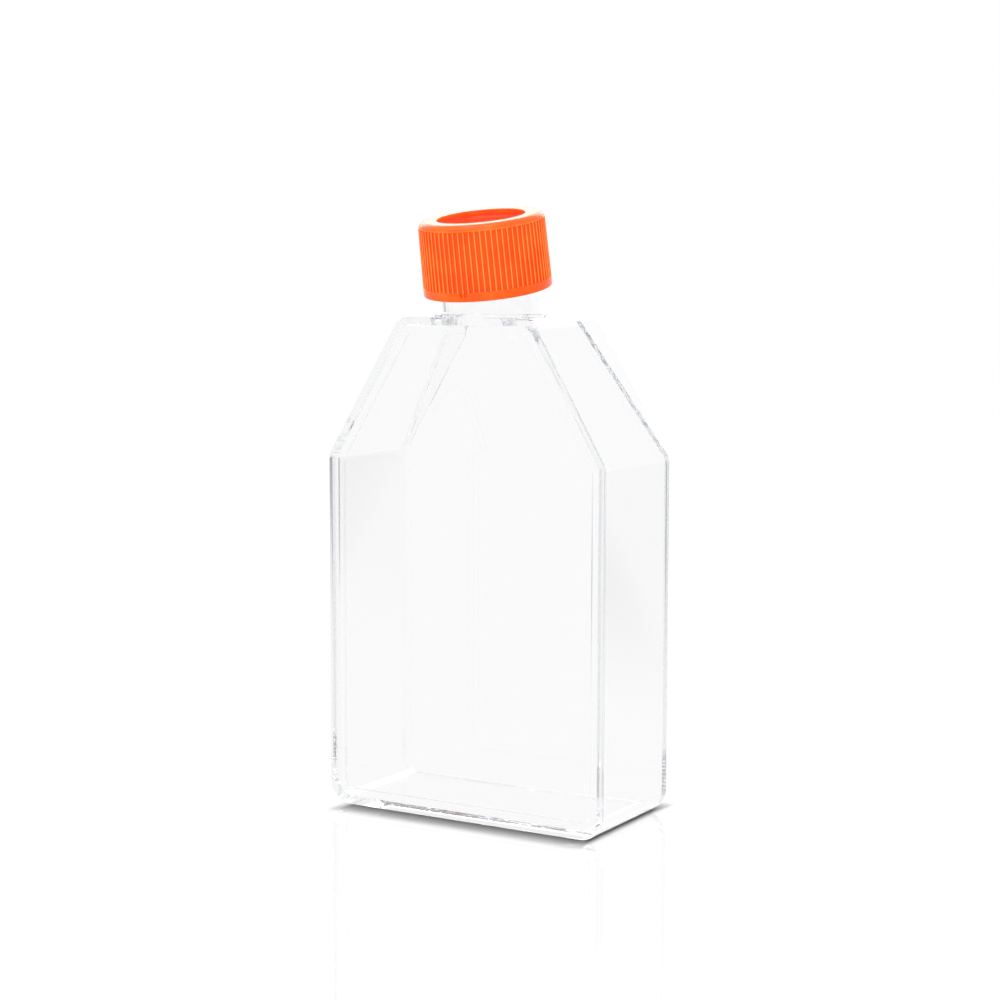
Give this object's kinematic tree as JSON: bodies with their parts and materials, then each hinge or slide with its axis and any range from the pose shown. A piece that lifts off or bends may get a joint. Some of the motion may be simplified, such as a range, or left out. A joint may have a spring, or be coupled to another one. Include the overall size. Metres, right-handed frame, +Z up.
{
  "type": "cell culture flask",
  "caption": "Clear rectangular cell culture flask with sloped shoulders, a canted neck and an orange ribbed screw cap.",
  "frame": {"origin": "middle of the underside of the base end that the flask stands on", "axes": "+Z up towards the cap, front plate facing -Y, growth wall facing +Y, X across the width"},
  "size_m": [0.085, 0.0445, 0.1634],
  "materials": {
    "clear_body": "clear moulded polystyrene",
    "clear_plate": "clear moulded polystyrene",
    "orange_cap": "satin moulded polyethylene"
  },
  "bodies": {
    "flask": {"flask_body": "clear_body", "front_plate": "clear_plate"},
    "cap": {"screw_cap": "orange_cap"}
  },
  "joints": [
    {"name": "cap_lift", "type": "slide", "parent": "flask", "child": "cap", "axis": [0, -0.1942, 0.981], "range_m": [0, 0.04]}
  ]
}
